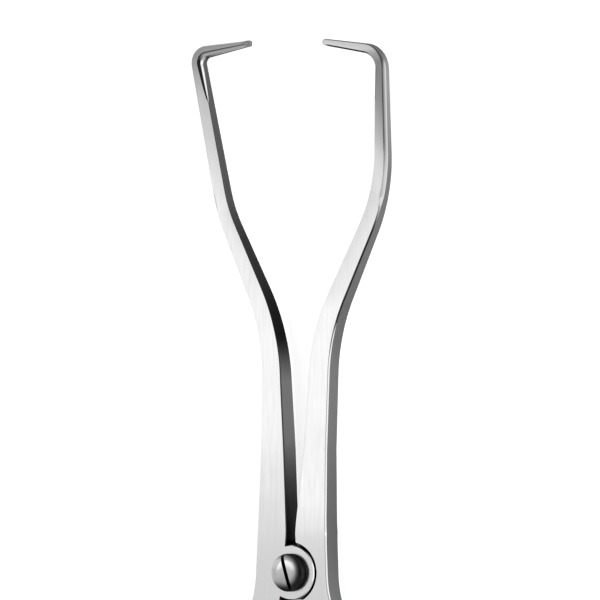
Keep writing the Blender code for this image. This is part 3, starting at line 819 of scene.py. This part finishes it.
def make_lock_screw():
    spot = lock_spot()
    tip = MID_PLANE + ARC_THICKNESS / 2 + ARC_GAP
    seat = JOINT_THICKNESS + FIT_GAP
    head_base = seat + LOCK_NECK_HEIGHT
    head_top = head_base + LOCK_HEAD_HEIGHT
    slope = 2 * RIM_BEVEL
    steps = LOCK_GROOVES * POINTS_PER_GROOVE
    # Each section's radius and height, and its share of the grooves' depth.
    sections = [
        (LOCK_SHANK_RADIUS - RIM_BEVEL, tip, 0.0),
        (LOCK_SHANK_RADIUS, tip + RIM_BEVEL, 0.0),
        (LOCK_SHANK_RADIUS, seat, 0.0),
        (LOCK_NECK_RADIUS, seat, 0.0),
        (LOCK_NECK_RADIUS, head_base, 0.0),
        (LOCK_HEAD_RADIUS - slope, head_base, GROOVE_AT_RIM_SHARE),
        (LOCK_HEAD_RADIUS, head_base + slope, 1.0),
        (LOCK_HEAD_RADIUS, head_top - slope, 1.0),
        (LOCK_HEAD_RADIUS - slope, head_top, GROOVE_AT_RIM_SHARE),
        (LOCK_DISH_RADIUS, head_top, 0.0),
        (LOCK_DISH_RADIUS - RIM_BEVEL, head_top - RIM_BEVEL, 0.0),
    ]
    rings = []
    for radius, height, grooving in sections:
        ring = []
        for step in range(steps):
            angle = 2 * math.pi * step / steps
            wave = 0.5 - 0.5 * math.cos(angle * LOCK_GROOVES)
            reach = radius - LOCK_GROOVE_DEPTH * wave * grooving
            ring.append((reach * math.cos(angle), reach * math.sin(angle), height))
        rings.append(ring)
    screw = add_object("lock_screw_steel", loft(rings))
    screw.location = (spot.x, spot.y, 0.0)
    return screw


class Nodes:
    """Short calls for building a node tree."""

    def __init__(self, tree):
        self.tree = tree
        tree.nodes.clear()

    def add(self, kind, values=None, **settings):
        node = self.tree.nodes.new(kind)
        for key, value in settings.items():
            setattr(node, key, value)
        for key, value in (values or {}).items():
            if isinstance(value, bpy.types.NodeSocket):
                self.tree.links.new(value, node.inputs[key])
            else:
                node.inputs[key].default_value = value
        return node

    def noise(self, place, scale, detail):
        values = {"Vector": place, "Scale": scale, "Detail": detail}
        return self.add("ShaderNodeTexNoise", values).outputs["Fac"]

    def ranged(self, value, source, target):
        # A value moved from one (low, high) range to another.
        return self.add("ShaderNodeMapRange", {
            "Value": value,
            "From Min": source[0],
            "From Max": source[1],
            "To Min": target[0],
            "To Max": target[1],
        }).outputs[0]

    def scaled(self, colour, share):
        return self.add("ShaderNodeVectorMath", {0: colour, "Scale": share}, operation='SCALE').outputs[0]

    def grey(self, level):
        return self.add("ShaderNodeCombineColor", {0: level, 1: level, 2: level}).outputs[0]


def new_material(name):
    material = bpy.data.materials.new(name)
    material.use_nodes = True
    return material, Nodes(material.node_tree)


def steel(name, colour, roughness, grain=(900.0, 60.0, 900.0), grain_depth=0.04, specks=0.0,
          clouds=(70.0, 0.965, 1.03), sheen_at_edge=1.0):
    """Ground steel with fine grain and slightly cloudy colour, and dark specks where they have a size."""
    material, nodes = new_material(name)
    place = nodes.add("ShaderNodeTexCoord").outputs["Object"]
    stretched = nodes.add("ShaderNodeMapping", {"Vector": place, "Scale": grain}).outputs[0]
    fine = nodes.noise(stretched, GRAIN_SCALE, GRAIN_DETAIL)
    cloud_scale, darkest, lightest = clouds
    shade = nodes.ranged(nodes.noise(place, cloud_scale, CLOUD_DETAIL), NOISE_RANGE, (darkest, lightest))
    # The painted light and shade stored at each face's corner darkens or lightens the colour.
    tone = nodes.add("ShaderNodeAttribute", attribute_name="tone").outputs["Fac"]
    clouded_and_painted = nodes.add("ShaderNodeMath", {0: shade, 1: tone}, operation='MULTIPLY').outputs[0]
    base = nodes.scaled(colour, clouded_and_painted)
    if specks:
        cells = nodes.add("ShaderNodeTexVoronoi", {"Vector": place, "Scale": SPECK_SCALE})
        base = nodes.scaled(base, nodes.ranged(cells.outputs["Distance"], (0.0, specks), (SPECK_TONE, 1.0)))
    bump = nodes.add("ShaderNodeBump", {
        "Height": fine,
        "Strength": GRAIN_STRENGTH,
        "Distance": GRAIN_HEIGHT,
    })
    shader = nodes.add("ShaderNodeBsdfPrincipled", {
        "Base Color": base,
        "Roughness": nodes.ranged(fine, NOISE_RANGE, (roughness - grain_depth, roughness + grain_depth)),
        "Metallic": 1.0,
        "Specular Tint": (sheen_at_edge, sheen_at_edge, sheen_at_edge, 1.0),
        "Normal": bump.outputs[0],
    })
    nodes.add("ShaderNodeOutputMaterial", {"Surface": shader.outputs[0]})
    return material


def ink():
    material, nodes = new_material("engraving_fill")
    place = nodes.add("ShaderNodeTexCoord").outputs["Object"]
    level = nodes.ranged(nodes.noise(place, INK_SCALE, CLOUD_DETAIL), (0.0, 1.0), INK_TONES)
    shader = nodes.add("ShaderNodeBsdfPrincipled", {
        "Base Color": nodes.grey(level),
        "Roughness": INK_ROUGHNESS,
    })
    nodes.add("ShaderNodeOutputMaterial", {"Surface": shader.outputs[0]})
    return material


def finish_by_direction(piece, steels, painted_light_of):
    """Faces, rounded edges and walls each get their own steel, with painted light and shade at each face's
    corners.
    """
    mesh = piece.data
    mesh.materials.clear()
    for material in steels:
        mesh.materials.append(material)
    for polygon in mesh.polygons:
        upward = abs(polygon.normal.z)
        polygon.material_index = 0 if upward > FLAT_ENOUGH else 2 if upward < STEEP_ENOUGH else 1
    painted_lights = mesh.attributes.new("tone", 'FLOAT', 'CORNER')
    for polygon in mesh.polygons:
        for corner in polygon.loop_indices:
            vertex = mesh.vertices[mesh.loops[corner].vertex_index]
            painted_lights.data[corner].value = painted_light_of(vertex, polygon)


def facet_tone(tilt, turn):
    # Painted reflection on the left jaw's rounded inner facet: up the arm it is painted dark beside the
    # face and bright beside the wall, and along the tip it is grey.
    beside_tip = between(tilt, TIP_FACET_PAINTED_LIGHT)
    up_arm = 1.0 if tilt > ARM_FACET_SPLIT else PAINTED_DARK_TONE
    return up_arm + (beside_tip - up_arm) * ease(turn, *TIP_FACET_TURN)


def left_edge_tone(spot, tilt, turn):
    # Painted shade under the left tip, and painted dark lines and reflections along the left arm's inner
    # edge.
    on_facet = spot.y > INNER_FACET_FOOT
    if on_facet and spot.x > LEFT_TIP_END:
        return PAINTED_TIP_UNDERSIDE_SHADE
    if not LEFT_LINE_TURN[0] < turn < LEFT_LINE_TURN[1]:
        return 1.0
    return facet_tone(tilt, turn) if on_facet else PAINTED_DARK_LINE_TONE


def right_edge_tone(spot, tilt, turn):
    # Painted reflections and dark lines along the right arm's outer edge, its corner and its tip.
    past_corner = spot.y > RIGHT_CORNER_FOOT
    if spot.x < RIGHT_TIP_END and past_corner:
        return PAINTED_RIGHT_END_SHADE
    if turn > RIGHT_EDGE_TURN and past_corner:
        return between(turn, RIGHT_TIP_PAINTED_LIGHT)
    if turn < -CORNER_SHADE_TURN and spot.y > INNER_FACET_FOOT:
        return between(-turn, CORNER_SHADE) if tilt > LEAD_IN_TILT else PAINTED_DARK_LINE_TONE
    if abs(turn) < RIGHT_EDGE_TURN:
        return between(spot.y, LEAD_IN_PAINTED_LIGHT if tilt < LEAD_IN_TILT else RIGHT_EDGE_PAINTED_LIGHT)
    return 1.0


def edge_tone(spot, smooth_normal):
    # Painted reflections and shade on the rounded and bevelled edges at the arms' front.
    tilt = math.degrees(math.acos(clamped(smooth_normal.z)))
    turn = math.degrees(math.atan2(-smooth_normal.y, smooth_normal.x))
    return left_edge_tone(spot, tilt, turn) if spot.x < 0 else right_edge_tone(spot, tilt, turn)


def flat_tone(spot):
    # Painted light and shade on the arms' flat faces, and painted shade on the flats hidden in the joint
    # between them.
    if RIM_BEVEL < spot.z < JOINT_THICKNESS - RIM_BEVEL and spot.xy.length < PAST_RECESS:
        return PAINTED_DARK_TONE
    if spot.x < 0:
        fading = LEFT_END_FADE * ease(spot.x, *LEFT_END_REACH) if spot.y > INNER_FACET_FOOT else 0.0
        return between(spot.y, LEFT_FACE_PAINTED_LIGHT) * (1 - fading)
    leaning = clamped((spot.x - RIGHT_FACE_LEAN_FROM) / RIGHT_FACE_LEAN_WIDTH) - 0.5
    return between(spot.y, RIGHT_FACE_PAINTED_LIGHT) * (1 - leaning * between(spot.y, RIGHT_FACE_LEANS))


def wall_tone(spot, normal):
    # Painted reflections and shade on the arms' sides: those that look left keep the steel's own colour.
    on_left = spot.x < 0
    if on_left and spot.y > INNER_FACET_FOOT and -normal.y > abs(normal.x):
        return PAINTED_TIP_UNDERSIDE_SHADE
    if normal.x < 0:
        return 1.0
    return between(spot.y, LEFT_WALL_PAINTED_LIGHT if on_left else RIGHT_WALL_PAINTED_LIGHT)


def arm_tone(vertex, polygon):
    """The painted light and shade, as a share of the steel's colour, at a corner of a face of either arm.
    """
    spot, normal = vertex.co, polygon.normal
    from_pivot = spot.xy.length
    upward = abs(normal.z)
    # Walls and bevels in the ring gap are painted dark as shade, and the front disc's bevel gets a painted
    # reflection.
    if from_pivot < PAST_RECESS_BEVEL and upward < FLAT_ENOUGH:
        inwards = normal.xy.dot(spot.xy) < 0
        if inwards or (upward < STEEP_ENOUGH and from_pivot < PAST_RECESS):
            return PAINTED_DARK_TONE
        if from_pivot < BOSS_RADIUS + RIM_BEVEL:
            return between(math.degrees(math.atan2(spot.y, spot.x)), BOSS_BEVEL_PAINTED_LIGHT)
    if upward > FLAT_ENOUGH:
        return flat_tone(spot)
    if upward < STEEP_ENOUGH:
        return wall_tone(spot, normal)
    return 1.0 if normal.z < 0 else edge_tone(spot, vertex.normal)


def side_tone(vertex, polygon):
    # The small pieces' sides get a painted dark reflection of the surroundings, with painted shade on top
    # of it in the grip's grooves.
    from_middle = vertex.co.xy.length
    in_groove = LOCK_NECK_RADIUS < from_middle < LOCK_HEAD_RADIUS - LOCK_GROOVE_DEPTH / 2
    return between(abs(polygon.normal.z), SIDE_PAINTED_LIGHT) * (GROOVE_PAINTED_SHADE if in_groove else 1.0)


def screw_tone(vertex, polygon):
    # The slot is painted dark as shade, the steep sides and the head's lower right side get a painted dark
    # reflection, and the upper left a painted highlight.
    spot = vertex.co
    if spot.z < JOINT_THICKNESS:
        return 1.0
    across = spot.x * math.cos(DRIVER_SLOT_ANGLE) + spot.y * math.sin(DRIVER_SLOT_ANGLE)
    within_width = abs(across) < DRIVER_SLOT_WIDTH * SLOT_WIDTH_SHARE
    if within_width and spot.z < HEAD_CROWN - DRIVER_SLOT_DEPTH * SLOT_DEPTH_SHARE:
        return PAINTED_DARK_TONE
    if abs(polygon.normal.z) < STEEP_ENOUGH:
        return PAINTED_DARK_TONE
    away = spot.xy - HEAD_LIGHT_SPOT
    away.x = max(away.x, away.x * HEAD_LEFT_SHARE)
    shade = ease(away.length, *HEAD_LIGHT_REACH)
    light = between(spot.y, HEAD_LIGHTS)
    return light + (PAINTED_DARK_TONE - light) * shade


def set_world():
    world = bpy.data.worlds.new("studio")
    bpy.context.scene.world = world
    world.use_nodes = True
    nodes = Nodes(world.node_tree)
    direction = nodes.add("ShaderNodeTexCoord").outputs["Generated"]
    strength = WORLD_LIGHT
    for centre, inner, outer, value in WORLD_ZONES:
        facing = nodes.add("ShaderNodeVectorMath", {0: direction, 1: Vector(centre).normalized()},
                           operation='DOT_PRODUCT')
        zone = nodes.add("ShaderNodeMapRange", {
            "Value": facing.outputs["Value"],
            "From Min": math.cos(math.radians(outer)),
            "From Max": math.cos(math.radians(inner)),
        }, interpolation_type='SMOOTHSTEP')
        mix = nodes.add("ShaderNodeMix", {"Factor": zone.outputs[0], "A": strength, "B": value})
        strength = mix.outputs["Result"]
    rays = nodes.add("ShaderNodeLightPath")
    shown = nodes.add("ShaderNodeMix", {"Factor": rays.outputs["Is Camera Ray"], "A": strength, "B": 1.0})
    background = nodes.add("ShaderNodeBackground", {
        "Color": (1.0, 1.0, 1.0, 1.0),
        "Strength": shown.outputs["Result"],
    })
    nodes.add("ShaderNodeOutputWorld", {"Surface": background.outputs[0]})


def add_floor():
    half = FLOOR_HALF
    builder = bmesh.new()
    corners = ((-half, -half), (half, -half), (half, half), (-half, half))
    builder.faces.new([builder.verts.new((x, y, 0.0)) for x, y in corners])
    floor = add_object("floor", builder)
    floor.location.z = -FLOOR_DROP
    material, nodes = new_material("pale_floor")
    rays = nodes.add("ShaderNodeLightPath")
    seen = nodes.add("ShaderNodeMath", {0: rays.outputs["Is Camera Ray"], 1: rays.outputs["Is Glossy Ray"]},
                     operation='ADD', use_clamp=True)
    seen = nodes.add("ShaderNodeMath", {0: seen.outputs[0], 1: rays.outputs["Is Transmission Ray"]},
                     operation='ADD', use_clamp=True)
    cloud = nodes.add("ShaderNodeTexNoise", {"Scale": FLOOR_CLOUD_SCALE})
    pale = nodes.ranged(cloud.outputs["Fac"], (0.0, 1.0), FLOOR_TONES)
    plain = nodes.add("ShaderNodeBsdfDiffuse", {"Color": nodes.grey(pale)})
    glow = nodes.add("ShaderNodeEmission", {"Strength": FLOOR_GLOW})
    lit = nodes.add("ShaderNodeAddShader", {0: plain.outputs[0], 1: glow.outputs[0]})
    surface = nodes.add("ShaderNodeMixShader", {0: seen.outputs[0], 1: plain.outputs[0], 2: lit.outputs[0]})
    nodes.add("ShaderNodeOutputMaterial", {"Surface": surface.outputs[0]})
    floor.data.materials.append(material)


def add_lamp(name, spot, target, size, power):
    lamp = bpy.data.lights.new(name, 'AREA')
    lamp.shape = 'RECTANGLE'
    lamp.size, lamp.size_y = size
    lamp.energy = power
    holder = bpy.data.objects.new(name, lamp)
    holder.location = spot
    holder.rotation_euler = (Vector(target) - Vector(spot)).to_track_quat('-Z', 'Y').to_euler()
    holder.visible_camera = False
    bpy.context.scene.collection.objects.link(holder)


def add_camera():
    camera = bpy.data.cameras.new("camera")
    camera.sensor_width = SENSOR_WIDTH
    camera.lens = CAMERA_FOCAL_PIXELS / IMAGE_PIXELS * SENSOR_WIDTH
    holder = bpy.data.objects.new("camera", camera)
    away = Vector((math.sin(CAMERA_AZIMUTH), 0.0, math.cos(CAMERA_AZIMUTH)))
    holder.location = CAMERA_TARGET + away * CAMERA_DISTANCE
    holder.rotation_euler = (0.0, CAMERA_AZIMUTH, 0.0)
    bpy.context.scene.collection.objects.link(holder)
    bpy.context.scene.camera = holder


def main():
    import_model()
    for leftover in ("Cube", "Light", "Camera"):
        if leftover in bpy.data.objects:
            bpy.data.objects.remove(bpy.data.objects[leftover], do_unlink=True)
    add_camera()
    set_world()
    add_floor()
    add_lamp("front_panel", PANEL_SPOT, PANEL_TARGET, PANEL_SIZE, PANEL_POWER)

    face = steel("satin_steel", colour=(0.90, 0.90, 0.905), roughness=0.22)
    edge = steel("polished_edge", colour=(0.88, 0.88, 0.885), roughness=0.12, grain_depth=0.02)
    # The sides are a darker copy of the face steel, as painted shade for the dark surroundings they mirror.
    wall = steel("side_steel", colour=(0.25, 0.25, 0.253), roughness=0.36, sheen_at_edge=0.3)
    screw_steel = steel("polished_steel", colour=(0.86, 0.86, 0.865), roughness=0.13,
                        grain=(500.0, 500.0, 500.0), grain_depth=0.02, specks=0.06,
                        clouds=(420.0, 0.84, 1.08), sheen_at_edge=0.4)
    plate_steel = steel("scale_steel", colour=(0.74, 0.74, 0.74), roughness=0.34)
    black = ink()

    left_arm, right_arm = make_arms()
    arms = (
        (left_arm, "left_arm_body", "left_arm"),
        (right_arm, "right_arm_body", "right_arm"),
    )
    for arm, body, node in arms:
        finish_by_direction(arm, (face, edge, wall), arm_tone)
        smooth(arm)
        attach(arm, body)
        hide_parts(node)

    pivot_screw = make_pivot_screw()
    lock_screw = make_lock_screw()
    arc, pin = make_arc()
    small = [
        (pivot_screw, "right_arm_body", "pivot_screw", "polished_steel"),
        (lock_screw, "lock_screw_body", "lock_screw", "polished_steel"),
        (arc, "left_arm_body", "scale_arc", "scale_steel"),
        (pin, "left_arm_body", "scale_stop_pin", "polished_steel"),
    ]
    for index, spot in enumerate(rivet_spots(), start=1):
        rivet = make_rivet(f"scale_rivet_{index}_steel", spot)
        small.append((rivet, "left_arm_body", f"scale_rivet_{index}", "polished_steel"))
    for piece, body, node, slot in small:
        material = plate_steel if slot == "scale_steel" else screw_steel
        painted_light_of = screw_tone if piece == pivot_screw else side_tone
        finish_by_direction(piece, (material, material, material), painted_light_of)
        smooth(piece)
        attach(piece, body)
        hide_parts(node)

    for mark in (make_marks(), *make_numbers()):
        mark.data.materials.append(black)
        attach(mark, "left_arm_body")

    settings = bpy.context.scene.view_settings
    settings.view_transform = 'Standard'


main()
